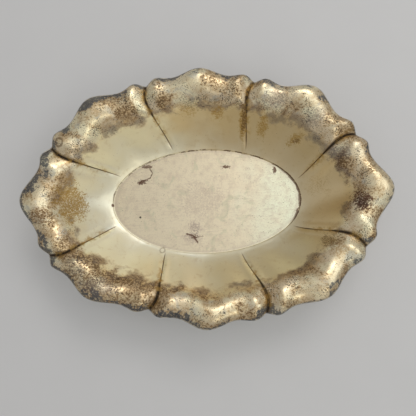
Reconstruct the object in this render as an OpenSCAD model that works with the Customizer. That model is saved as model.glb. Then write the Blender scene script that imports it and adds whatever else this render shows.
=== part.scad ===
// Oval lobed offering dish, pressed from plated sheet.
// A flat oval well, a fluted wall of eight lobes parted by swirled creases, a rim that rolls over
// and down, a fine wire soldered round the rim's edge, and a low foot ring under the well.
// Frame: origin on the table under the middle of the well, +X along the length, +Z up.

/* [Dish] */
// Length over the tips of the two end lobes
dish_l = 328; // [300:1:360]
// Width over the tips of the two side lobes
dish_w = 232; // [210:1:250]
// Height of the rim's edge above the floor of the well
rim_h = 45; // [30:1:55]
// Thickness of the sheet
sheet_t = 1.2; // [0.9:0.1:1.4]

/* [Well] */
// Length of the flat oval floor
well_l = 190; // [172:1:202]
// Width of the flat oval floor
well_w = 106; // [96:1:116]
// Height of the coined step round the floor
step_h = 1; // [0.6:0.1:1.6]
// Width of the coined step in plan
step_w = 0.6; // [0.4:0.1:1]

/* [Lobes] */
// Distance of a side lobe's notches from the dish's short axis
side_notch_x = 50.5; // [46:0.5:54]
// Distance of a side lobe's notches from the dish's long axis
side_notch_y = 102; // [98:0.5:104]
// Distance of an end lobe's notches from the dish's short axis
end_notch_x = 138.5; // [134:0.5:141]
// Distance of an end lobe's notches from the dish's long axis
end_notch_y = 49.5; // [46:0.5:52]
// Height of a corner lobe's tip above the line through its notches
corner_tip = 17; // [14:0.5:21]
// How sharply each notch rises to its shoulders
notch_r = 5; // [4:0.5:8]
// Turn of the creases' inner ends round the well, in degrees
swirl = -3; // [-6:0.5:0]
// Sideways sweep of each crease between the well and the rim
crease_sweep = 5.5; // [0:0.5:7]
// Depth of the creases in the wall
crease_wall = 2.4; // [0.8:0.1:3]
// Height of the low lip on each side of a crease in the wall
crease_lip = 0.6; // [0:0.1:0.8]
// Depth of the creases in the rolled rim
crease_rim = 6; // [3:0.5:6.5]
// Height of the soft ridge that runs in from each lobe's tip
ridge_h = 4; // [0:0.5:5]
// Height of the round shoulders on each side of a crease
shoulder_swell = 2.4; // [0:0.2:3]
// How far the lobes stray from a true oval: 0 for none, 1 for a dish that has been bent by use
out_of_true = 1; // [0:0.1:1]

/* [Edge wire] */
// Diameter of the wire round the rim
wire_d = 1.6; // [1.4:0.1:2]

/* [Foot ring] */
// Height of the foot ring
foot_h = 4; // [3:0.5:8]
// Distance of the foot ring's outside from the edge of the well
foot_in = 5; // [3:0.5:12]
// Thickness of the foot ring's upright band
foot_t = 1.4; // [1:0.1:2.4]
// Width of the foot ring's base flange
flange_w = 3.6; // [2.5:0.1:6]
// Thickness of the foot ring's base flange
flange_t = 1.2; // [0.8:0.1:2]

/* [Hidden] */

// Corners of the outline, anticlockwise from the lower notch of the +X end lobe, and how far
// each has strayed.
true_notches = [
    [end_notch_x, -end_notch_y], [end_notch_x, end_notch_y],
    [side_notch_x, side_notch_y], [-side_notch_x, side_notch_y],
    [-end_notch_x, end_notch_y], [-end_notch_x, -end_notch_y],
    [-side_notch_x, -side_notch_y], [side_notch_x, -side_notch_y]];
strays = [[0, 0], [-1.5, 1], [-2.5, 1], [-2, 0.5], [-1, -2], [0, -1], [0, 3.5], [0, -1.5]];
notches = true_notches + out_of_true * strays;
// Angles of the creases' inner ends on the well's ellipse, before the swirl.
end_a = 26;
side_a = 67.5;
true_crease_a = [-end_a, end_a, side_a, 180 - side_a, 180 - end_a, 180 + end_a, 180 + side_a, 360 - side_a];
crease_strays = [-1, -3.5, 0, 0, 0, 1, 0, 0.5];
crease_a = true_crease_a + out_of_true * crease_strays;

// Lobe kinds: 0 is an end lobe, 1 a corner lobe, 2 a side lobe.
kinds = [0, 1, 2, 1];
shoulder_h = [8, 6.5, 5.5];
tip_half_w = [37, 33, 29];
edge_out = wire_d / 2 + sqrt(pow(wire_d / 2, 2) - pow(sheet_t / 2, 2));
corner_strays = [1.5, -1, -2.5, -1.5];
corner_h = [for (stray = corner_strays) corner_tip - shoulder_h[1] + out_of_true * stray];
end_h = dish_l / 2 - edge_out - shoulder_h[0];
side_h = dish_w / 2 - edge_out - shoulder_h[2];
tip_h = [
    end_h - (notches[0][0] + notches[1][0]) / 2, corner_h[0],
    side_h - (notches[2][1] + notches[3][1]) / 2, corner_h[1],
    end_h + (notches[4][0] + notches[5][0]) / 2, corner_h[2],
    side_h + (notches[6][1] + notches[7][1]) / 2, corner_h[3]];
ridge_half_w = 26;

// Slope of the wall and rim, as shares of the steepest slope, which lies at turn, where the wall
// meets the rim. The rim flattens as a power roll_pow, then curls down as a power curl_pow.
turn = 0.53;
slope_in = 0.38;
slope_out = 0.55;
roll_pow = 2.2;
curl_pow = 4;
// Reach of a crease's flanks, in the wall and in the rim, then where the lip and the shoulder's
// swell lie beside it.
flank_wall = 2.4;
flank_rim = 6;
lip_at = 4;
lip_reach = 2;
swell_at = 10;
swell_reach = 6;
// A crease starts a little outside the well, deepens as it climbs on to the rim, gets shallower
// at the rim's edge, and is swept most at sweep_at.
crease_start = 0.02;
crease_grown = 0.28;
rim_start = 0.45;
rim_grown = 0.8;
edge_from = 0.85;
edge_shallow = 0.3;
sweep_pow = 2.5;
sweep_at = sweep_pow / (sweep_pow + 1);
sweep_most = pow(sweep_at, sweep_pow) * (1 - sweep_at);
// Distance of the floor's under edge from its upper edge, as a share of the sheet.
under_shift = 0.7;

floor_z = foot_h + sheet_t;
columns = 20;
gather = 1.7;
nudge = 0.002;
oval_steps = 96;
top_rows = [0, 0.05, 0.12, 0.2, 0.28, 0.36, 0.43, 0.5, 0.56, 0.62, 0.68, 0.74, 0.8, 0.86, 0.91, 0.96, 1];
under_rows = [0, 0.12, 0.28, 0.43, 0.56, 0.68, 0.8, 0.91, 1];

function mix(a, b, k) = a + (b - a) * k;
function clamp(x) = min(1, max(0, x));
function ease(x) = pow(clamp(x), 2) * (3 - 2 * clamp(x));
// Both rise from 0 to 1 over a few times r: the first with a rounded start, the second with a sharp one.
function rise(d, r) = 1 - 2 / (exp(2 * d * d / (d + r / 2) / r) + 1);
function sharp_rise(d, r) = 1 - exp(-d / r);
function hump(x, half_w) = abs(x) < half_w ? pow(cos(90 * x / half_w), 2) : 0;
function bulge(d, at, reach) = exp(-pow((d - at) / reach, 2));
function ellipse(half_l, half_w, a) = [half_l * cos(a), half_w * sin(a)];

// Height of the wall and rim from the well's edge (s = 0) to the rim's edge (s = 1), unscaled.
function wall_part(s) = slope_in * s + (1 - slope_in) / turn * s * s / 2;
function roll_part(k) = (1 - turn) * ((1 - pow(1 - k, roll_pow + 1)) / (roll_pow + 1)
    - slope_out * pow(k, curl_pow + 1) / (curl_pow + 1));
function rise_z(s) = s < turn ? wall_part(s) : wall_part(turn) + roll_part((s - turn) / (1 - turn));
function profile_z(s) = step_h + (rim_h - step_h) * rise_z(s) / rise_z(1);

// Point of the outline on lobe i, at u from 0 to 1 between its notches.
function outline(i, u) = let (
    p = notches[i], q = notches[(i + 1) % 8], kind = kinds[i % 4],
    len = norm(q - p), along = (q - p) / len, out = [along[1], -along[0]],
    x = (u - 0.5) * len, d = len / 2 - abs(x))
    p + along * len * u + out
        * (shoulder_h[kind] * rise(d, notch_r) + tip_h[i] * hump(x, tip_half_w[kind]));

// Angle on the well's ellipse of lobe i at u.
function well_a(i, u) = mix(crease_a[i], crease_a[(i + 1) % 8] + (i == 7 ? 360 : 0), u) + swirl;

function well_point(i, u) = ellipse(well_l / 2, well_w / 2, well_a(i, u));

// Rises smoothly from 0 to 1 as s goes from a to b.
function grow(s, a, b) = ease((s - a) / (b - a));

// Drop into the crease at distance d with the lip beside it, and the swell of the rim's
// shoulders and tip ridge.
function crease_z(d, s) = let (on_rim = grow(s, rim_start, rim_grown))
    grow(s, crease_start, crease_grown) * (crease_lip * (1 - on_rim) * bulge(d, lip_at, lip_reach)
    - mix(crease_wall, crease_rim, on_rim) * (1 - edge_shallow * grow(s, edge_from, 1))
    * (1 - sharp_rise(d, mix(flank_wall, flank_rim, on_rim))));
function swell_z(x, d, s) = grow(s, rim_start, rim_grown)
    * (ridge_h * hump(x, ridge_half_w) + shoulder_swell * bulge(d, swell_at, swell_reach));

// Point of the upper surface on lobe i, at u across it and s up it.
function upper(i, u, s) = let (
    w = well_point(i, u), out = outline(i, u) - w, side = [-out[1], out[0]] / norm(out),
    p = w + out * s + side * crease_sweep * pow(s, sweep_pow) * (1 - s) / sweep_most,
    outer_w = norm(notches[(i + 1) % 8] - notches[i]),
    inner_w = norm(well_point(i, 0) - well_point(i, 1)),
    x = (u - 0.5) * outer_w, d = (0.5 - abs(u - 0.5)) * mix(inner_w, outer_w, s))
    [p[0], p[1], floor_z + profile_z(s) + crease_z(d, s) + swell_z(x, d, s)];

function unit(v) = v / norm(v);
// Directions up a lobe and across it, taken inside the lobe.
function up_dir(i, u, s) = s < 0.5 ? upper(i, u, s + nudge) - upper(i, u, s)
    : upper(i, u, s) - upper(i, u, s - nudge);
function across_dir(i, u, s) = u < 0.5 ? upper(i, u + nudge, s) - upper(i, u, s)
    : upper(i, u, s) - upper(i, u - nudge, s);
function lobe_normal(i, u, s) = unit(cross(up_dir(i, u, s), across_dir(i, u, s)));
// On a crease the two lobes' normals are shared.
function normal(i, u, s) = u > 0 ? lobe_normal(i, u, s)
    : unit(lobe_normal(i, 0, s) + lobe_normal((i + 7) % 8, 1, s));
function under(i, u, s) = upper(i, u, s) - sheet_t * normal(i, u, s);
// Direction out of the sheet at the rim's edge, square to the edge and level with the sheet.
function out_dir(i, u) = unit(cross(u > 0 ? across_dir(i, u, 1)
    : unit(across_dir(i, 0, 1)) + unit(across_dir((i + 7) % 8, 1, 1)), normal(i, u, 1)));

// Places across a lobe: close together at the creases, further apart at the tip.
function place(k) = let (h = columns / 2, j = k <= h ? k : columns - k, near = 0.5 * pow(j / h, gather))
    k <= h ? near : 1 - near;
spots = [for (i = [0 : 7], k = [0 : columns - 1]) [i, place(k)]];
ring_n = len(spots);

function flat_ring(half_l, half_w, z) = [for (p = spots)
    let (e = ellipse(half_l, half_w, well_a(p[0], p[1]))) [e[0], e[1], z]];

// Quads between neighbouring rings, split in two, for rings first to last of a point list.
function band(first, last) = [for (r = [first : last - 1], c = [0 : ring_n - 1])
    let (a = r * ring_n + c, b = r * ring_n + (c + 1) % ring_n)
    each [[a, b, a + ring_n], [b, b + ring_n, a + ring_n]]];

// One closed skin: the floor and the rows of the upper side, then back down the under side.
module dish_body() {
    floor_l = well_l / 2 - step_w;
    floor_w = well_w / 2 - step_w;
    rings = [
        flat_ring(floor_l, floor_w, floor_z),
        for (s = top_rows) [for (p = spots) upper(p[0], p[1], s)],
        for (k = [len(under_rows) - 1 : -1 : 0]) [for (p = spots) under(p[0], p[1], under_rows[k])],
        flat_ring(floor_l + sheet_t * under_shift, floor_w + sheet_t * under_shift, floor_z - sheet_t)];
    points = [for (r = rings) each r];
    last = len(rings) - 1;
    floor_top = [for (c = [ring_n - 1 : -1 : 0]) c];
    floor_under = [for (c = [0 : ring_n - 1]) last * ring_n + c];
    color([0.74, 0.68, 0.53])
        polyhedron(points, concat([floor_top], band(0, last), [floor_under]), convexity = 10);
}

// The wire's section is a circle cut flat against the sheet's edge.
module edge_wire() {
    r = wire_d / 2;
    steps = 6;
    cut_a = 180 - asin(sheet_t / 2 / r);
    sections = [for (k = [0 : steps]) let (a = mix(cut_a, -cut_a, k / steps)) [for (p = spots)
        let (n = normal(p[0], p[1], 1), e = out_dir(p[0], p[1]),
            middle = upper(p[0], p[1], 1) - n * sheet_t / 2 + e * (edge_out - r))
        middle + e * r * cos(a) + n * r * sin(a)]];
    points = [for (q = sections) each q];
    total = len(points);
    closing = [for (c = [0 : ring_n - 1]) let (a = steps * ring_n + c, b = steps * ring_n + (c + 1) % ring_n)
        each [[a, b, c], [b, (c + 1) % ring_n, c]]];
    color([0.80, 0.78, 0.70])
        polyhedron(points, concat(band(0, steps), closing), convexity = 10);
}

module oval_band(half_l, half_w, t, h) {
    linear_extrude(h) difference() {
        polygon([for (k = [1 : oval_steps]) ellipse(half_l, half_w, k * 360 / oval_steps)]);
        polygon([for (k = [1 : oval_steps]) ellipse(half_l - t, half_w - t, k * 360 / oval_steps)]);
    }
}

module foot_ring() {
    half_l = well_l / 2 - foot_in;
    half_w = well_w / 2 - foot_in;
    color([0.70, 0.65, 0.52]) {
        oval_band(half_l, half_w, flange_w, flange_t);
        oval_band(half_l - (flange_w - foot_t) / 2, half_w - (flange_w - foot_t) / 2, foot_t, foot_h);
    }
}

dish_body();
edge_wire();
foot_ring();
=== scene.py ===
"""Oval lobed dish in worn silver plate: the look of the pressed sheet, its edge wire and its foot ring."""
import math

import bpy
import numpy as np
from mathutils import Euler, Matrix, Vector, noise


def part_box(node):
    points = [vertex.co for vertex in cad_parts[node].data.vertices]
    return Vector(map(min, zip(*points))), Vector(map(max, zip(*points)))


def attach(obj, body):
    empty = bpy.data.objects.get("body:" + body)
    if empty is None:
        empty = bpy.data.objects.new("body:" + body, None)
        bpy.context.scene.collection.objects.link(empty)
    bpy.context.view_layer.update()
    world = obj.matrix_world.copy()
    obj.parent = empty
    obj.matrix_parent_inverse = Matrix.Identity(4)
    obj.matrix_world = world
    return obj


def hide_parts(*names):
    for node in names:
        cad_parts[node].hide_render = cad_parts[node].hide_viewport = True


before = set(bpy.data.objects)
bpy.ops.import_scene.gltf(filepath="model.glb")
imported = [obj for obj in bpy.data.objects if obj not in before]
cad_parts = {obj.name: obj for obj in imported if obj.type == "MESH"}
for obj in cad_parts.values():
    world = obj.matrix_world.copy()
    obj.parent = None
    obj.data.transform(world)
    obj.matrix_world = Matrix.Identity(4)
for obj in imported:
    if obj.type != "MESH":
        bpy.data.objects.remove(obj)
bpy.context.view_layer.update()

# ---------------------------------------------------------------- sizes, in metres
MM = 0.001
dish_low, dish_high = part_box("dish_body")
wire_low, wire_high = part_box("edge_wire")
foot_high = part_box("foot_ring")[1]

SHEET_T = 1.2 * MM
WIRE_R = 0.8 * MM
FLOOR_Z = foot_high.z + SHEET_T
STEP_H = 1.0 * MM
STEP_W = 0.6 * MM
RIM_H = 45 * MM
FOOT_IN = 5 * MM
FOOT_T = 1.4 * MM
FLANGE_W = 3.6 * MM
FLANGE_T = 1.2 * MM
WELL_A = foot_high.x + FOOT_IN
WELL_B = foot_high.y + FOOT_IN

# The outline: eight notches, with a lobe between each two.
END_NOTCH = (138.5 * MM, 49.5 * MM)
SIDE_NOTCH = (50.5 * MM, 102 * MM)
CORNER_TIP = 17 * MM
NOTCH_R = 5 * MM
SHOULDER_H = (8 * MM, 6.5 * MM, 5.5 * MM)
TIP_HALF_W = (37 * MM, 33 * MM, 29 * MM)
EDGE_OUT = WIRE_R + math.sqrt(WIRE_R ** 2 - (SHEET_T / 2) ** 2)
END_REACH = 164 * MM - EDGE_OUT - SHOULDER_H[0]
SIDE_REACH = 116 * MM - EDGE_OUT - SHOULDER_H[2]
KINDS = (0, 1, 2, 1)
TRUE_NOTCHES = np.array([
    (END_NOTCH[0], -END_NOTCH[1]), END_NOTCH, SIDE_NOTCH, (-SIDE_NOTCH[0], SIDE_NOTCH[1]),
    (-END_NOTCH[0], END_NOTCH[1]), (-END_NOTCH[0], -END_NOTCH[1]),
    (-SIDE_NOTCH[0], -SIDE_NOTCH[1]), (SIDE_NOTCH[0], -SIDE_NOTCH[1])])
# How far each notch strays from the regular outline. These, the corners' and the creases' are
# a least-squares fit's output, rounded.
STRAYS = np.array([
    (0, 0), (-1.5, 1), (-2.5, 1), (-2, 0.5), (-1, -2), (0, -1), (0, 3.5), (0, -1.5)]) * MM
NOTCHES = TRUE_NOTCHES + STRAYS
CORNER_H = [CORNER_TIP - SHOULDER_H[1] + stray * MM for stray in (1.5, -1, -2.5, -1.5)]
TIP_H = (
    END_REACH - (NOTCHES[0][0] + NOTCHES[1][0]) / 2, CORNER_H[0],
    SIDE_REACH - (NOTCHES[2][1] + NOTCHES[3][1]) / 2, CORNER_H[1],
    END_REACH + (NOTCHES[4][0] + NOTCHES[5][0]) / 2, CORNER_H[2],
    SIDE_REACH + (NOTCHES[6][1] + NOTCHES[7][1]) / 2, CORNER_H[3])
END_A = 26
SIDE_A = 67.5
SWIRL = -3
CREASE_A = np.radians([SWIRL + a for a in (
    -END_A - 1, END_A - 3.5, SIDE_A, 180 - SIDE_A, 180 - END_A, 181 + END_A, 180 + SIDE_A,
    360.5 - SIDE_A, 359 - END_A)])

# The wall and the rolled rim.
CREASE_SWEEP = 5.5 * MM
CREASE_WALL = 2.4 * MM
CREASE_RIM = 6 * MM
RIDGE_H = 4 * MM
RIDGE_HALF_W = 26 * MM
SHOULDER_SWELL = 2.4 * MM
FLANK_WALL = 2.4 * MM
LIP_H = 0.6 * MM
LIP_AT = 4 * MM
LIP_REACH = 2 * MM
FLANK_RIM = 6 * MM
SWELL_AT = 10 * MM
SWELL_REACH = 6 * MM
CREASE_START, CREASE_GROWN = 0.02, 0.28
RIM_START, RIM_GROWN = 0.45, 0.8
EDGE_FROM = 0.85
EDGE_SHALLOW = 0.3
SWEEP_POW = 2.5
SWEEP_AT = SWEEP_POW / (SWEEP_POW + 1)
SWEEP_MOST = SWEEP_AT ** SWEEP_POW * (1 - SWEEP_AT)
TURN = 0.53
SLOPE_IN = 0.38
SLOPE_OUT = 0.55
ROLL_POW = 2.2
CURL_POW = 4

# How finely the meshes are built, and how worn the sheet is.
COLUMNS = 84
UNDER_EVERY = 3
GATHER = 1.7
NUDGE = 0.002
FOOT_STEPS = 240
WIRE_STEPS = 12
WORN = 0.1 * MM
FOOT_SOFT = 0.25 * MM
TABLE_HALF = 3.0

# Sizes of the noises in the dish's material, and the height of its relief.
CLOUDS = 38 * MM
PATCHES = 24 * MM
COARSE = 20 * MM
FILM = 17 * MM
EDGE_PATCHES = 15 * MM
OLIVE_CLOUDS = 13 * MM
CLUSTERS = 11 * MM
STROKES = 9 * MM
MEDIUM = 7 * MM
GRAINS = 1.7 * MM
SPECKS = 0.9 * MM
RELIEF_H = 0.12 * MM


# ---------------------------------------------------------------- the dish's surface
def ease(x):
    x = np.clip(x, 0, 1)
    return x * x * (3 - 2 * x)


def mix(a, b, k):
    return a + (b - a) * k


def rise(d, r):
    return 1 - 2 / (np.exp(2 * d * d / (d + r / 2) / r) + 1)


def sharp_rise(d, r):
    return 1 - np.exp(-d / r)


def hump(x, half_w):
    return np.where(np.abs(x) < half_w, np.cos(np.pi / 2 * x / half_w) ** 2, 0)


def grow(s, start, end):
    return ease((s - start) / (end - start))


def rise_z(s):
    low = np.minimum(s, TURN)
    wall = SLOPE_IN * low + (1 - SLOPE_IN) / TURN * low * low / 2
    k = np.maximum(s - TURN, 0) / (1 - TURN)
    roll = (1 - (1 - k) ** (ROLL_POW + 1)) / (ROLL_POW + 1)
    curl = SLOPE_OUT * k ** (CURL_POW + 1) / (CURL_POW + 1)
    return wall + (1 - TURN) * (roll - curl)


def outline(i, u):
    """Point of the sheet's edge on lobe i, at u from 0 to 1 between its notches."""
    kind = KINDS[i % 4]
    start, end = NOTCHES[i], NOTCHES[(i + 1) % 8]
    length = np.linalg.norm(end - start)
    along = (end - start) / length
    out = np.array([along[1], -along[0]])
    x = (u - 0.5) * length
    height = SHOULDER_H[kind] * rise(length / 2 - np.abs(x), NOTCH_R)
    height = height + TIP_H[i % 8] * hump(x, TIP_HALF_W[kind])
    return start + along * (length * u)[..., None] + out * height[..., None]


def well_edge(a, inset=0.0):
    return np.stack([(WELL_A - inset) * np.cos(a), (WELL_B - inset) * np.sin(a)], -1)


def crease_distance(i, u, s):
    outer = np.linalg.norm(NOTCHES[(i + 1) % 8] - NOTCHES[i])
    inner = np.linalg.norm(well_edge(CREASE_A[i]) - well_edge(CREASE_A[i + 1]))
    return (0.5 - np.abs(u - 0.5)) * mix(inner, outer, s)


def upper(i, u, s):
    """Points of lobe i's upper surface, at u across it and s from the well's edge (0) to the rim's (1)."""
    start = well_edge(mix(CREASE_A[i], CREASE_A[i + 1], u))
    out = outline(i, u) - start
    side = np.stack([-out[..., 1], out[..., 0]], -1) / np.linalg.norm(out, axis=-1)[..., None]
    sweep = CREASE_SWEEP * s ** SWEEP_POW * (1 - s) / SWEEP_MOST
    plan = start + out * s[..., None] + side * sweep[..., None]
    d = crease_distance(i, u, s)
    x = (u - 0.5) * np.linalg.norm(NOTCHES[(i + 1) % 8] - NOTCHES[i])
    z = FLOOR_Z + STEP_H + (RIM_H - STEP_H) * rise_z(s) / rise_z(np.array(1.0))
    on_rim = grow(s, RIM_START, RIM_GROWN)
    creased = grow(s, CREASE_START, CREASE_GROWN)
    depth = mix(CREASE_WALL, CREASE_RIM, on_rim) * creased
    depth = depth * (1 - EDGE_SHALLOW * grow(s, EDGE_FROM, 1))
    z = z - depth * (1 - sharp_rise(d, mix(FLANK_WALL, FLANK_RIM, on_rim)))
    z = z + LIP_H * np.exp(-((d - LIP_AT) / LIP_REACH) ** 2) * creased * (1 - on_rim)
    swell = SHOULDER_SWELL * np.exp(-((d - SWELL_AT) / SWELL_REACH) ** 2)
    swell = RIDGE_H * hump(x, RIDGE_HALF_W) + swell
    z = z + on_rim * swell
    return np.concatenate([plan, z[..., None]], -1)


def unit(v):
    return v / np.linalg.norm(v, axis=-1)[..., None]


def directions(i, u, s):
    """Directions up and across a lobe, taken inside it."""
    up = upper(i, u, np.minimum(s + NUDGE, 1)) - upper(i, u, np.maximum(s - NUDGE, 0))
    across = upper(i, np.minimum(u + NUDGE, 1), s) - upper(i, np.maximum(u - NUDGE, 0), s)
    return unit(up), unit(across)


def lobe_places():
    half = COLUMNS // 2
    near = 0.5 * (np.arange(half + 1) / half) ** GATHER
    return np.concatenate([near, 1 - near[-2:0:-1]])


def surface_rows(heights):
    """Points, across directions and normals, as rows round the dish."""
    spots = lobe_places()
    points, acrosses, normals = [], [], []
    s = np.repeat(np.asarray(heights)[:, None], len(spots), 1)
    u = np.repeat(spots[None, :], len(heights), 0)
    ends = []
    for i in range(8):
        up, across = directions(i, u, s)
        end_up, end_across = directions(i, np.ones_like(u[:, :1]), s[:, :1])
        points.append(upper(i, u, s))
        acrosses.append(across)
        normals.append(unit(np.cross(across, up) * -1))
        ends.append((end_across[:, 0], unit(np.cross(end_across, end_up) * -1)[:, 0]))
    for i in range(8):
        last_across, last_normal = ends[(i + 7) % 8]
        acrosses[i][:, 0] = unit(acrosses[i][:, 0] + last_across)
        normals[i][:, 0] = unit(normals[i][:, 0] + last_normal)
    return [np.concatenate(part, 1) for part in (points, acrosses, normals)]


def crease_rows(heights):
    spots = lobe_places()
    s = np.repeat(np.asarray(heights)[:, None], len(spots), 1)
    u = np.repeat(spots[None, :], len(heights), 0)
    return np.concatenate([crease_distance(i, u, s) for i in range(8)], 1)


# ---------------------------------------------------------------- meshes
def grid_object(name, rows, close_rows=False, caps=(False, False)):
    """A mesh of rings of points, each ring closed, with its end rings capped or joined."""
    rings, count = rows.shape[:2]
    faces = []
    last = rings if close_rows else rings - 1
    for r in range(last):
        a = r * count
        b = ((r + 1) % rings) * count
        faces += [(a + c, b + c, b + (c + 1) % count, a + (c + 1) % count) for c in range(count)]
    points = rows.reshape(-1, 3).tolist()
    for end, capped in zip((0, rings - 1), caps):
        if capped:
            centre = len(points)
            points.append(rows[end].mean(0).tolist())
            ring = [end * count + c for c in range(count)]
            if end:
                faces += [(ring[c], centre, ring[(c + 1) % count]) for c in range(count)]
            else:
                faces += [(centre, ring[c], ring[(c + 1) % count]) for c in range(count)]
    mesh = bpy.data.meshes.new(name)
    mesh.from_pydata(points, [], faces)
    mesh.validate()
    mesh.shade_smooth()
    obj = bpy.data.objects.new(name, mesh)
    bpy.context.scene.collection.objects.link(obj)
    return obj


def set_share(obj, name, values):
    """A number for each vertex, which the materials read."""
    layer = obj.data.attributes.new(name, "FLOAT", "POINT")
    layer.data.foreach_set("value", np.asarray(values, np.float32))


def flat_rows(shares, inset, z):
    """Rings of the flat floor, each a share of the well's edge."""
    spots = lobe_places()
    a = np.concatenate([mix(CREASE_A[i], CREASE_A[i + 1], spots) for i in range(8)])
    rows = []
    for share in shares:
        plan = well_edge(a, inset) * share
        rows.append(np.concatenate([plan, np.full((len(a), 1), z)], 1))
    return np.array(rows)


def waver(points, amount, size):
    """Small hand-worn unevenness, as heights for a list of points."""
    heights = np.array([noise.noise(Vector(p) / size) for p in points.reshape(-1, 3)])
    return heights.reshape(points.shape[:-1]) * amount


def build_dish():
    heights = np.concatenate([
        np.linspace(0, 0.06, 8), np.linspace(0.08, 0.94, 68), np.linspace(0.95, 1, 9)])
    points, _, normals = surface_rows(heights)
    bumps = waver(points, 0.18 * MM, 17 * MM) + waver(points, 0.07 * MM, 6 * MM) - WORN
    fade = ease(heights / 0.05) * ease((1 - heights) / 0.05)
    top = points + normals * (bumps * fade[:, None])[..., None]
    bottom = points - normals * SHEET_T

    floor_shares = np.concatenate([np.linspace(0.06, 0.96, 16), [0.985, 1.0]])
    floor = flat_rows(floor_shares, STEP_W, FLOOR_Z)
    floor[..., 2] += waver(floor, 0.12 * MM, 30 * MM) * ease((1 - floor_shares) / 0.1)[:, None]
    step_k = np.linspace(0, 1, 7)[1:-1]
    step = [mix(floor[-1], points[0], k) for k in step_k]
    for row, k in zip(step, step_k):
        row[:, 2] = mix(FLOOR_Z, points[0][:, 2], ease(k))
    base_shares = np.linspace(1.0, 0.06, 6)
    base = flat_rows(base_shares, STEP_W - SHEET_T * 0.7, FLOOR_Z - SHEET_T)
    under_rows = bottom[::-UNDER_EVERY]

    rows = np.concatenate([floor, np.array(step), top, under_rows, base])
    rows = np.clip(rows, dish_low, dish_high)
    dish = grid_object("dish", rows, caps=(True, True))
    count = rows.shape[1]
    rim = np.concatenate([
        floor_shares - 1, 0 * step_k, heights, heights[::-UNDER_EVERY], base_shares - 1])
    shown = np.concatenate([
        np.ones(len(floor) + len(step) + len(top)), np.zeros(len(under_rows) + len(base))])
    crease = np.concatenate([
        np.full((len(floor) + len(step), count), 1.0), crease_rows(heights),
        crease_rows(heights[::-UNDER_EVERY]), np.full((len(base), count), 1.0)])
    ends = [-1, -1]
    set_share(dish, "rim_share", np.concatenate([np.repeat(rim, count), ends]))
    set_share(dish, "upper_side", np.concatenate([np.repeat(shown, count), [1, 0]]))
    set_share(dish, "crease_mm", np.concatenate([crease.ravel() / MM, [1000, 1000]]))
    return dish


def build_wire():
    points, acrosses, normals = [part[-1] for part in surface_rows([0.98, 1.0])]
    out = unit(np.cross(acrosses, normals))
    middle = points - normals * SHEET_T / 2 + out * (EDGE_OUT - WIRE_R)
    cut = math.pi - math.asin(SHEET_T / 2 / WIRE_R)
    rows = [middle + out * WIRE_R * math.cos(a) + normals * WIRE_R * math.sin(a)
            for a in np.linspace(cut, -cut, WIRE_STEPS)]
    return grid_object("wire", np.clip(rows, wire_low, wire_high), close_rows=True)


def build_foot():
    """A low oval band with a flat flange, its corners softened."""
    a = np.linspace(0, 2 * np.pi, FOOT_STEPS, endpoint=False)
    half_a = foot_high.x
    half_b = foot_high.y
    gap = (FLANGE_W - FOOT_T) / 2
    soft = FOOT_SOFT
    top_z = foot_high.z
    section = [
        (0, soft), (soft, 0), (FLANGE_W - soft, 0), (FLANGE_W, soft),
        (FLANGE_W, FLANGE_T - soft), (FLANGE_W - soft, FLANGE_T), (gap + FOOT_T + soft, FLANGE_T),
        (gap + FOOT_T, FLANGE_T + soft), (gap + FOOT_T, top_z), (gap, top_z),
        (gap, FLANGE_T + soft), (gap - soft, FLANGE_T), (soft, FLANGE_T), (0, FLANGE_T - soft)]
    rows = [
        np.stack([(half_a - inset) * np.cos(a), (half_b - inset) * np.sin(a), np.full_like(a, z)], 1)
        for inset, z in section]
    return grid_object("foot", np.array(rows), close_rows=True)


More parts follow.
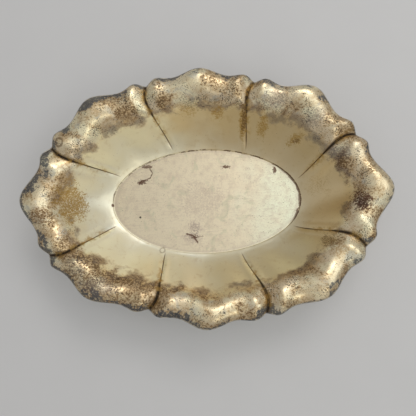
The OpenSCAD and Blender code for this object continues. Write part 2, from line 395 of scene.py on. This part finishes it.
# ---------------------------------------------------------------- materials
class Nodes:
    """Short names for the shader nodes that the materials use."""

    def __init__(self, name):
        self.material = bpy.data.materials.new(name)
        self.material.use_nodes = True
        self.tree = self.material.node_tree
        self.shader = self.tree.nodes["Principled BSDF"]
        self.place = self.tree.nodes.new("ShaderNodeTexCoord").outputs["Object"]

    def link(self, value, socket):
        if isinstance(value, bpy.types.NodeSocket):
            self.tree.links.new(value, socket)
        else:
            socket.default_value = value

    def share(self, name):
        node = self.tree.nodes.new("ShaderNodeAttribute")
        node.attribute_name = name
        return node.outputs["Fac"]

    def math(self, operation, *values, clamp=False):
        node = self.tree.nodes.new("ShaderNodeMath")
        node.operation = operation
        node.use_clamp = clamp
        for value, socket in zip(values, node.inputs):
            self.link(value, socket)
        return node.outputs[0]

    def times(self, a, b):
        return self.math("MULTIPLY", a, b)

    def add(self, base, value, amount):
        """The base plus so much of the value."""
        return self.math("MULTIPLY_ADD", value, amount, base)

    def swing(self, base, value, amount):
        """The base plus so much of how far the value is from its middle."""
        return self.add(base, self.math("SUBTRACT", value, 0.5), amount)

    def noise(self, size, detail=4.0, roughness=0.6, warp=0.0, vector=None):
        node = self.tree.nodes.new("ShaderNodeTexNoise")
        self.link(vector or self.place, node.inputs["Vector"])
        node.inputs["Scale"].default_value = 1 / size
        node.inputs["Detail"].default_value = detail
        node.inputs["Roughness"].default_value = roughness
        node.inputs["Distortion"].default_value = warp
        return node.outputs["Fac"]

    def band(self, value, low, high, soft_low, soft_high=None):
        """1 between low and high, falling to 0 over soft_low below and soft_high above."""
        rising = self.step(value, low - soft_low, low)
        return self.times(rising, self.step(value, high + (soft_high or soft_low), high))

    def step(self, value, zero, one):
        node = self.tree.nodes.new("ShaderNodeMapRange")
        node.interpolation_type = "SMOOTHSTEP"
        self.link(value, node.inputs["Value"])
        if zero < one:
            lows, highs, outs = zero, one, (0, 1)
        else:
            lows, highs, outs = one, zero, (1, 0)
        node.inputs["From Min"].default_value = lows
        node.inputs["From Max"].default_value = highs
        node.inputs["To Min"].default_value = outs[0]
        node.inputs["To Max"].default_value = outs[1]
        return node.outputs["Result"]

    def blend(self, base, colour, amount):
        node = self.tree.nodes.new("ShaderNodeMix")
        node.data_type = "RGBA"
        self.link(amount, node.inputs["Factor"])
        self.link(base if isinstance(base, bpy.types.NodeSocket) else (*base, 1), node.inputs["A"])
        self.link(colour if isinstance(colour, bpy.types.NodeSocket) else (*colour, 1), node.inputs["B"])
        return node.outputs["Result"]

    def stain(self, base, colour, mask, depth):
        return self.blend(base, colour, self.times(mask, depth))

    def vector_math(self, operation, *values):
        node = self.tree.nodes.new("ShaderNodeVectorMath")
        node.operation = operation
        for value, socket in zip(values, node.inputs):
            self.link(value, socket)
        return node.outputs["Value" if operation in ("LENGTH", "DOT_PRODUCT") else "Vector"]

    def spot(self, x, y, size, soft=0.5, stretch=(1, 1)):
        """1 near a place on the dish, in mm, fading to 0 at size, with a ragged border."""
        away = self.vector_math("SUBTRACT", self.place, (x * MM, y * MM, 0))
        flat = self.vector_math("MULTIPLY", away, (1 / stretch[0], 1 / stretch[1], 0))
        ragged = self.add(self.vector_math("LENGTH", flat), self.noise(size * MM * 0.45, 4), size * MM)
        return self.step(ragged, size * MM * 1.5, size * MM * (1.5 - soft))

    def stroke(self, points, width):
        """1 along a scratch through the points, in mm, with a ragged border."""
        nearest = None
        for (ax, ay), (bx, by) in zip(points[:-1], points[1:]):
            run = Vector((bx - ax, by - ay, 0)) * MM
            away = self.vector_math("SUBTRACT", self.place, (ax * MM, ay * MM, 0))
            away = self.vector_math("MULTIPLY", away, (1, 1, 0))
            share = self.vector_math("DOT_PRODUCT", away, run)
            share = self.math("MULTIPLY", share, 1 / run.length_squared, clamp=True)
            along = self.vector_math("SCALE", tuple(run))
            self.link(share, along.node.inputs["Scale"])
            gap = self.vector_math("LENGTH", self.vector_math("SUBTRACT", away, along))
            nearest = gap if nearest is None else self.math("MINIMUM", nearest, gap)
        ragged = self.add(nearest, self.noise(width * MM, 4, 0.7), width * MM * 1.6)
        return self.step(ragged, width * MM * 1.3, width * MM * 0.9)

    def hairlines(self, angle, size):
        """Fine scratches running one way, as 0 to 1."""
        turned = self.tree.nodes.new("ShaderNodeMapping")
        self.link(self.place, turned.inputs["Vector"])
        turned.inputs["Rotation"].default_value = (0, 0, math.radians(angle))
        turned.inputs["Scale"].default_value = (0.03, 1, 1)
        return self.step(self.noise(size, 2, 0.5, vector=turned.outputs["Vector"]), 0.62, 0.72)


# Colours, as linear values.
PLATE = (0.80, 0.74, 0.55)
PLATE_PALE = (0.85, 0.83, 0.70)
PLATE_YELLOWED_AND_SHADED = (0.66, 0.53, 0.32)
PLATE_GOLD = (0.83, 0.67, 0.41)
FLOOR_WARM = (0.81, 0.71, 0.52)
FLOOR_PALE = (0.82, 0.84, 0.65)
FLOOR_MAUVE = (0.58, 0.48, 0.38)
FLOOR_OLIVE = (0.52, 0.52, 0.36)
RIM_PALE = (0.90, 0.82, 0.56)
RIM_PINK = (0.76, 0.62, 0.42)
GREY_FILM = (0.42, 0.43, 0.40)
TAN = (0.54, 0.37, 0.19)
OCHRE = (0.46, 0.30, 0.10)
BROWN = (0.19, 0.115, 0.055)
RED_BROWN = (0.12, 0.055, 0.035)
DARK = (0.045, 0.038, 0.03)
# Smoke grey: stains in some marks, and painted shade along the turn into the rim.
SMOKE_AND_SHADE = (0.20, 0.165, 0.15)
BLUE_GREY = (0.10, 0.11, 0.12)
EDGE_METAL = (0.50, 0.45, 0.36)
FOOT_METAL = (0.50, 0.44, 0.31)
TABLE_GREY = (0.62, 0.61, 0.60)


class DishNodes(Nodes):
    """The dish's nodes: where each spot lies on the dish, and the noises that its stains share."""

    def __init__(self):
        super().__init__("tarnished_plate")
        self.rim = self.share("rim_share")
        self.crease = self.share("crease_mm")
        self.face = self.share("upper_side")
        split = self.tree.nodes.new("ShaderNodeSeparateXYZ")
        self.link(self.place, split.inputs[0])
        self.x, self.y, self.z = split.outputs
        self.coarse = self.noise(COARSE, 4, 0.55)
        self.medium = self.noise(MEDIUM, 5, 0.65, warp=0.3)
        self.grains = self.noise(GRAINS, 4, 0.75)
        self.specks = self.noise(SPECKS, 2, 0.5)
        # Where the wall turns into the rim, the tarnish starts along a ragged line.
        self.wavy = self.swing(self.swing(self.rim, self.coarse, 0.30), self.medium, 0.12)
        self.on_rim = self.times(self.step(self.wavy, 0.46, 0.60), self.face)
        self.on_floor = self.step(self.rim, 0.0, -0.012)
        self.crest = self.step(self.z, 0.050, 0.056)
        self.film = self.step(self.noise(FILM, 3, 0.6, warp=0.8), 0.52, 0.66)


def wall_colour(n):
    """Pale plate towards the near left, yellowed and darker towards the far right, golden on the right
    wall; the gradient is partly painted light and shade.
    """
    # Partly painted light and shade: paler towards the near left and darker, yellower towards the far
    # right. This stands in for the bright and dark surroundings that the walls reflect.
    drift = n.add(n.times(n.x, 0.7), n.y, 0.9)
    drift = n.swing(drift, n.noise(CLOUDS, 3, 0.5), 0.16)
    colour = n.blend(PLATE_PALE, PLATE, n.step(drift, -0.12, -0.02))
    colour = n.blend(colour, PLATE_YELLOWED_AND_SHADED, n.step(drift, 0.0, 0.09))
    gold = n.times(n.step(n.x, 0.085, 0.115), n.step(n.y, 0.05, 0.01))
    colour = n.stain(colour, PLATE_GOLD, gold, 0.7)
    return n.stain(colour, OCHRE, n.step(n.medium, 0.54, 0.72), 0.22)


def rim_colour(n):
    """Pale and pinkish metal under a grey film, rubbed pale on the crests."""
    metal = n.stain(RIM_PALE, RIM_PINK, n.step(n.coarse, 0.38, 0.56), 0.9)
    metal = n.stain(metal, TAN, n.step(n.medium, 0.46, 0.66), 0.45)
    metal = n.stain(metal, RIM_PALE, n.crest, 0.45)
    return n.stain(metal, GREY_FILM, n.film, 0.6)


def rim_tarnish(n, colour):
    """Haze, brown grains in patches, pits, dark edge patches and a painted shade band at the turn, and how
    dirty each spot is.

    There is more in the near left corner and on the right, and less on the crests. The extra in the near
    left corner is partly painted shade.
    """
    # Partly painted shade: more tarnish towards the near left corner. It also stands in for the dark
    # surroundings that this side of the rim reflects.
    near_left_dirt_and_shade = n.step(n.add(n.y, n.x, 0.5), -0.05, -0.12)
    lean = n.add(n.noise(PATCHES, 3, 0.6, warp=0.5), near_left_dirt_and_shade, 0.15)
    lean = n.add(lean, n.step(n.x, 0.10, 0.13), 0.08)
    patches = n.times(n.step(lean, 0.46, 0.66), n.on_rim)
    haze = n.times(n.step(lean, 0.44, 0.60), n.on_rim)
    colour = n.stain(colour, TAN, haze, 0.35)
    crowd = n.swing(n.add(n.grains, patches, 0.20), n.medium, 0.35)
    crowd = n.add(crowd, n.crest, -0.06)
    halo = n.times(n.step(crowd, 0.50, 0.67), n.on_rim)
    colour = n.stain(colour, TAN, halo, 0.72)
    dust = n.times(n.step(n.specks, 0.50, 0.66), n.on_rim)
    colour = n.stain(colour, TAN, dust, 0.4)
    tarnish = n.times(n.step(crowd, 0.62, 0.76), n.on_rim)
    colour = n.stain(colour, BROWN, tarnish, 0.85)
    clusters = n.step(n.noise(CLUSTERS, 3, 0.6), 0.46, 0.62)
    black = n.times(n.step(n.add(n.specks, clusters, 0.12), 0.64, 0.71), n.on_rim)
    colour = n.stain(colour, DARK, black, 0.8)
    # Painted shade: a smoky grey band along the turn from wall to rim. It stands in for the dark
    # reflection on the steep part.
    fold_shade = n.times(n.band(n.wavy, 0.54, 0.58, 0.06), n.step(n.coarse, 0.45, 0.56))
    colour = n.stain(colour, SMOKE_AND_SHADE, n.times(fold_shade, n.face), 0.55)
    edge_from = n.add(n.rim, n.noise(EDGE_PATCHES, 5, 0.7), 1.0)
    edge_from = n.add(edge_from, n.step(n.x, WELL_A, -WELL_A), 0.10)
    edge = n.times(n.step(edge_from, 1.50, 1.54), n.step(n.grains, 0.34, 0.46))
    edge = n.times(edge, n.face)
    colour = n.stain(colour, BLUE_GREY, edge, 0.85)
    return colour, n.math("MAXIMUM", tarnish, n.math("MAXIMUM", edge, black))


def crease_stains_and_shade(n, colour):
    """Stains and painted shade in the creases, narrow in the wall and wider on the rim."""
    # Partly painted shade: the brown and near-black lines along the crease bottoms are partly tarnish and
    # partly the shade in the sunken valleys. The ochre stain beside them is tarnish.
    reach = n.add(0.5, n.step(n.rim, 0.35, 0.7), 1.3)
    near = n.math("DIVIDE", n.crease, n.times(reach, n.add(0.1, n.coarse, 2.4)))
    creased = n.times(n.step(near, 1.0, 0.35), n.step(n.rim, 0.03, 0.12))
    colour = n.stain(colour, BROWN, creased, 0.75)
    deep_dirt_and_shade = n.times(n.step(near, 0.55, 0.2), n.step(n.rim, 0.08, 0.3))
    colour = n.stain(colour, DARK, deep_dirt_and_shade, 0.85)
    stain = n.times(n.step(n.crease, 4.5, 1.0), n.step(n.medium, 0.46, 0.60))
    stain = n.times(stain, n.step(n.rim, 0.1, 0.4))
    return n.stain(colour, OCHRE, stain, 0.7)


def floor_colour(n):
    """The floor: pale, and paler towards the right as partly painted light, clouded and finely scratched,
    with pits and a dull border.
    """
    # Partly painted light: the floor turns paler and cooler towards the right, where the light comes from.
    paler = n.swing(n.x, n.coarse, 0.08)
    floor = n.blend(FLOOR_WARM, FLOOR_PALE, n.step(paler, 0.02, 0.10))
    floor = n.stain(floor, FLOOR_MAUVE, n.step(n.medium, 0.46, 0.66), 0.35)
    floor = n.stain(floor, FLOOR_MAUVE, n.step(n.grains, 0.48, 0.68), 0.35)
    lines = n.math("MAXIMUM", n.hairlines(20, 0.5 * MM), n.hairlines(-35, 0.6 * MM))
    floor = n.stain(floor, FLOOR_MAUVE, lines, 0.4)
    olive = n.step(n.noise(OLIVE_CLOUDS, 4, 0.6, warp=0.6), 0.56, 0.70)
    floor = n.stain(floor, FLOOR_OLIVE, olive, 0.4)
    pits = n.step(n.add(n.specks, n.step(n.x, 0.0, 0.09), 0.04), 0.69, 0.73)
    floor = n.stain(floor, BROWN, pits, 0.8)
    return n.stain(floor, FLOOR_MAUVE, n.band(n.rim, -0.03, -0.02, 0.03, 0.015), 0.3)


def step_dirt_and_shade(n, colour):
    """Dirt and painted shade along the step round the floor, in broken strokes, heavier to the right."""
    right = n.step(n.x, 0.06, 0.09)
    wander = n.swing(n.rim, n.medium, 0.045)
    thin = n.band(wander, -0.004, 0.0, 0.005)
    thick = n.times(n.band(wander, -0.014, 0.001, 0.006), right)
    dirt_and_shade = n.math("MAXIMUM", thin, thick)
    broken = n.step(n.add(n.noise(STROKES, 4, 0.7), right, 0.1), 0.43, 0.52)
    # Painted shade: the line is kept to the far and right sides, where the step's face is turned from the
    # light.
    side = n.math("ADD", n.step(n.y, -0.005, 0.015), n.step(n.x, 0.080, 0.09), clamp=True)
    dirt_and_shade = n.times(n.times(dirt_and_shade, side), n.times(broken, n.face))
    return n.stain(colour, RED_BROWN, dirt_and_shade, 0.8)


def single_marks(n, colour):
    """Single marks, painted shade rings for dents, and scratches, placed in mm on the plan of the dish."""
    grit = n.times(n.math("ADD", n.grains, n.specks), 0.5)
    for at, size, stretch, tint, depth, crowding in MARKS:
        mark = n.step(n.add(grit, n.spot(*at, size, 0.8, stretch), crowding), 0.65, 0.78)
        colour = n.stain(colour, tint, n.times(mark, n.face), depth)
    # Painted shade: each dent shows only as a brown ring round its edge.
    for (ring_x, ring_y), radius, tint, depth in DENT_SHADE_RINGS:
        away = n.vector_math("SUBTRACT", n.place, (ring_x * MM, ring_y * MM, 0))
        away = n.vector_math("LENGTH", n.vector_math("MULTIPLY", away, (1, 1, 0)))
        away = n.swing(away, n.grains, 3.5 * MM)
        ring = n.band(away, radius * MM * 0.9, radius * MM * 1.1, 0.9 * MM)
        colour = n.stain(colour, tint, n.times(ring, n.face), depth)
    for points, width in SCRATCHES:
        colour = n.stain(colour, RED_BROWN, n.times(n.stroke(points, width), n.face), 0.85)
    return colour


def dish_material():
    n = DishNodes()
    colour = n.blend(wall_colour(n), rim_colour(n), n.on_rim)
    colour, dirty = rim_tarnish(n, colour)
    colour = crease_stains_and_shade(n, colour)
    colour = n.blend(colour, floor_colour(n), n.on_floor)
    colour = single_marks(n, step_dirt_and_shade(n, colour))
    n.link(colour, n.shader.inputs["Base Color"])
    n.shader.inputs["Metallic"].default_value = 1.0

    rough = n.add(0.32, n.medium, 0.16)
    rough = n.add(rough, n.on_floor, 0.10)
    rough = n.add(rough, n.on_rim, -0.07)
    rough = n.add(rough, n.times(n.film, n.on_rim), 0.16)
    rough = n.math("MULTIPLY_ADD", dirty, 0.25, rough, clamp=True)
    n.link(rough, n.shader.inputs["Roughness"])

    relief = n.add(n.times(n.grains, 0.6), n.medium, 1.5)
    relief = n.add(relief, dirty, -0.5)
    bump = n.tree.nodes.new("ShaderNodeBump")
    bump.inputs["Distance"].default_value = RELIEF_H
    bump.inputs["Strength"].default_value = 0.6
    n.link(relief, bump.inputs["Height"])
    n.link(bump.outputs["Normal"], n.shader.inputs["Normal"])
    return n.material


# Place, size, stretch, colour, depth and crowding of each mark. The places of the marks, the
# dents and the scratches were converted to mm by a separate script; the rest was set by hand.
MARKS = (
    ((136.5, -11), 17, (1, 1.1), BROWN, 0.6, 0.24),
    ((136, -11), 13, (0.9, 1.1), RED_BROWN, 0.9, 0.32),
    ((136, -12), 10, (1, 1), DARK, 0.6, 0.22),
    ((122, 34), 14, (1, 0.8), SMOKE_AND_SHADE, 0.6, 0.3),
    ((123, 26), 8, (1, 1), BROWN, 0.7, 0.25),
    ((108.7, -44.5), 10, (1, 1.3), BROWN, 0.7, 0.25),
    ((114, -52), 10, (1.4, 1), TAN, 0.8, 0.25),
    ((37.5, 71), 7, (0.8, 3), OCHRE, 0.95, 0.32),
    ((38.5, 75), 6, (0.8, 3), BROWN, 0.8, 0.27),
    ((56.5, 67), 10, (0.9, 1.5), OCHRE, 0.9, 0.26),
    ((14, 80), 9, (1.3, 1), OCHRE, 0.9, 0.25),
    ((-14, 82), 10, (1.5, 0.7), OCHRE, 0.7, 0.22),
    ((86.5, 53.2), 9, (1.4, 1), OCHRE, 0.9, 0.26),
    ((108, 10), 22, (0.8, 1), OCHRE, 0.35, 0.2),
    ((88, 52), 4, (1.4, 1), BROWN, 0.7, 0.25),
    ((-125, -2), 17, (1, 2.1), OCHRE, 0.9, 0.27),
    ((-121, -8), 14, (1, 2.1), OCHRE, 0.8, 0.23),
    ((-143.7, -16), 12, (1, 1.6), BROWN, 0.7, 0.25),
    ((-98.4, -73), 14, (1.6, 1), BROWN, 0.7, 0.25),
    ((-1.4, 86.6), 9, (4, 0.8), BLUE_GREY, 0.35, 0.25),
    ((66, 84), 16, (1.9, 0.9), SMOKE_AND_SHADE, 0.55, 0.25),
    ((101, 66), 15, (1.3, 1), SMOKE_AND_SHADE, 0.5, 0.25),
    ((-113, -60), 16, (1.1, 1.3), BLUE_GREY, 0.4, 0.25),
    ((-92, -78), 16, (1.9, 1), SMOKE_AND_SHADE, 0.5, 0.25),
    ((-72, 76), 15, (1.4, 0.9), BROWN, 0.5, 0.24),
    ((-2, 2), 38, (1.2, 1), FLOOR_MAUVE, 0.45, 0.25),
    ((-12, -26.5), 10, (1.2, 1.2), FLOOR_MAUVE, 0.9, 0.27),
    ((-14, -36), 13, (1.3, 0.8), FLOOR_MAUVE, 0.9, 0.27),
    ((-12, -27), 9, (1.2, 1.2), SMOKE_AND_SHADE, 0.35, 0.2),
    ((-13, -36), 4.5, (1.6, 1), RED_BROWN, 0.8, 0.28),
    ((-67, -15), 1.6, (1, 1), DARK, 0.9, 0.5),
    ((-64, 22), 4, (2.2, 0.8), RED_BROWN, 0.9, 0.26),
    ((-95, -2), 2.4, (0.8, 1.2), RED_BROWN, 0.9, 0.4),
    ((21, 34.5), 4.5, (1.7, 0.7), RED_BROWN, 0.9, 0.33),
    ((70, 29.5), 4.5, (0.7, 1.5), RED_BROWN, 0.9, 0.33),
    ((-66, 20), 5, (1.8, 0.6), RED_BROWN, 0.9, 0.3),
    ((-60, 37), 6, (2.2, 0.6), RED_BROWN, 0.8, 0.3),
)
# Place, radius, colour and depth of each round dent's outline, painted as a ring of shade; the dents are
# not in the mesh.
DENT_SHADE_RINGS = (
    ((-129.4, 50), 3.6, BROWN, 0.7),
    ((-42, 103), 2.8, BROWN, 0.6),
    ((-44.5, -48.5), 2.4, BROWN, 0.45),
)
# Places along each scratch, and its width.
SCRATCHES = (
    (((-20, -33), (-14, -35), (-9.5, -41.5)), 2.6),
    (((-11, -36.5), (-4, -35.5)), 1.1),
    (((-57, 34.5), (-54.5, 30), (-57, 25), (-69, 20.5)), 1.8),
)


def plain_metal(name, colour, stain, roughness):
    n = Nodes(name)
    patches = n.noise(6 * MM, 5, 0.65, warp=0.4)
    n.link(n.blend(colour, stain, n.step(patches, 0.42, 0.68)), n.shader.inputs["Base Color"])
    n.shader.inputs["Metallic"].default_value = 1.0
    n.link(n.add(roughness, patches, 0.2), n.shader.inputs["Roughness"])
    return n.material


def stage_material(name, colour, roughness):
    n = Nodes(name)
    grain = n.noise(0.05, 4, 0.5)
    n.link(n.blend(colour, tuple(c * 0.96 for c in colour), grain), n.shader.inputs["Base Color"])
    n.shader.inputs["Roughness"].default_value = roughness
    return n.material


# ---------------------------------------------------------------- pieces on the frame
def place_piece(piece, node, material):
    piece.data.materials.append(material)
    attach(piece, "root")
    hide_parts(node)


place_piece(build_dish(), "dish_body", dish_material())
edge_plate = plain_metal("edge_plate", EDGE_METAL, BLUE_GREY, 0.28)
place_piece(build_wire(), "edge_wire", edge_plate)
foot_plate = plain_metal("foot_plate", FOOT_METAL, TAN, 0.25)
place_piece(build_foot(), "foot_ring", foot_plate)


# ---------------------------------------------------------------- stage, camera and light
def build_floor():
    corners = [(sx * TABLE_HALF, sy * TABLE_HALF, 0) for sx, sy in ((-1, -1), (1, -1), (1, 1), (-1, 1))]
    mesh = bpy.data.meshes.new("table")
    mesh.from_pydata(corners, [], [(0, 1, 2, 3)])
    table = bpy.data.objects.new("table", mesh)
    bpy.context.scene.collection.objects.link(table)
    mesh.materials.append(stage_material("pale_floor", TABLE_GREY, 0.8))


def build_camera():
    """The camera, placed by a least-squares fit of the outline."""
    data = bpy.data.cameras.new("camera")
    data.lens = 29.75
    data.sensor_width = 36
    data.clip_start = 0.01
    camera = bpy.data.objects.new("camera", data)
    camera.location = (10.4 * MM, -48 * MM, 349.3 * MM)
    camera.rotation_euler = Euler([math.radians(a) for a in (6.69, 1.64, -1.42)])
    bpy.context.scene.collection.objects.link(camera)
    bpy.context.scene.camera = camera


def area_light(name, at, size, power, colour):
    data = bpy.data.lights.new(name, "AREA")
    data.shape = "RECTANGLE"
    data.size, data.size_y = size
    data.energy = power
    data.color = colour
    light = bpy.data.objects.new(name, data)
    light.location = at
    aim = Vector((0, 0, 0.03)) - Vector(at)
    light.rotation_euler = aim.to_track_quat("-Z", "Y").to_euler()
    bpy.context.scene.collection.objects.link(light)


def build_light():
    area_light("ceiling", (0, 0, 1.8), (2.2, 2.2), 2.5, (1.0, 1.0, 0.98))
    area_light("lamp", (0.4, 0.25, 1.8), (0.6, 0.6), 1.2, (1.0, 1.0, 0.96))
    area_light("back", (0.5, 1.1, 1.3), (0.9, 0.6), 6, (1.0, 0.98, 0.95))
    area_light("key", (1.15, 0.1, 1.15), (1.0, 0.8), 3.0, (0.90, 0.96, 1.0))
    area_light("front", (0.55, -0.9, 1.1), (0.6, 0.5), 1.5, (1.0, 0.98, 0.86))
    world = bpy.data.worlds.new("room")
    world.use_nodes = True
    background = world.node_tree.nodes["Background"]
    background.inputs["Color"].default_value = (0.97, 0.98, 1.0, 1)
    background.inputs["Strength"].default_value = 0.48
    bpy.context.scene.world = world
    bpy.context.scene.view_settings.view_transform = "Standard"


build_floor()
build_camera()
build_light()
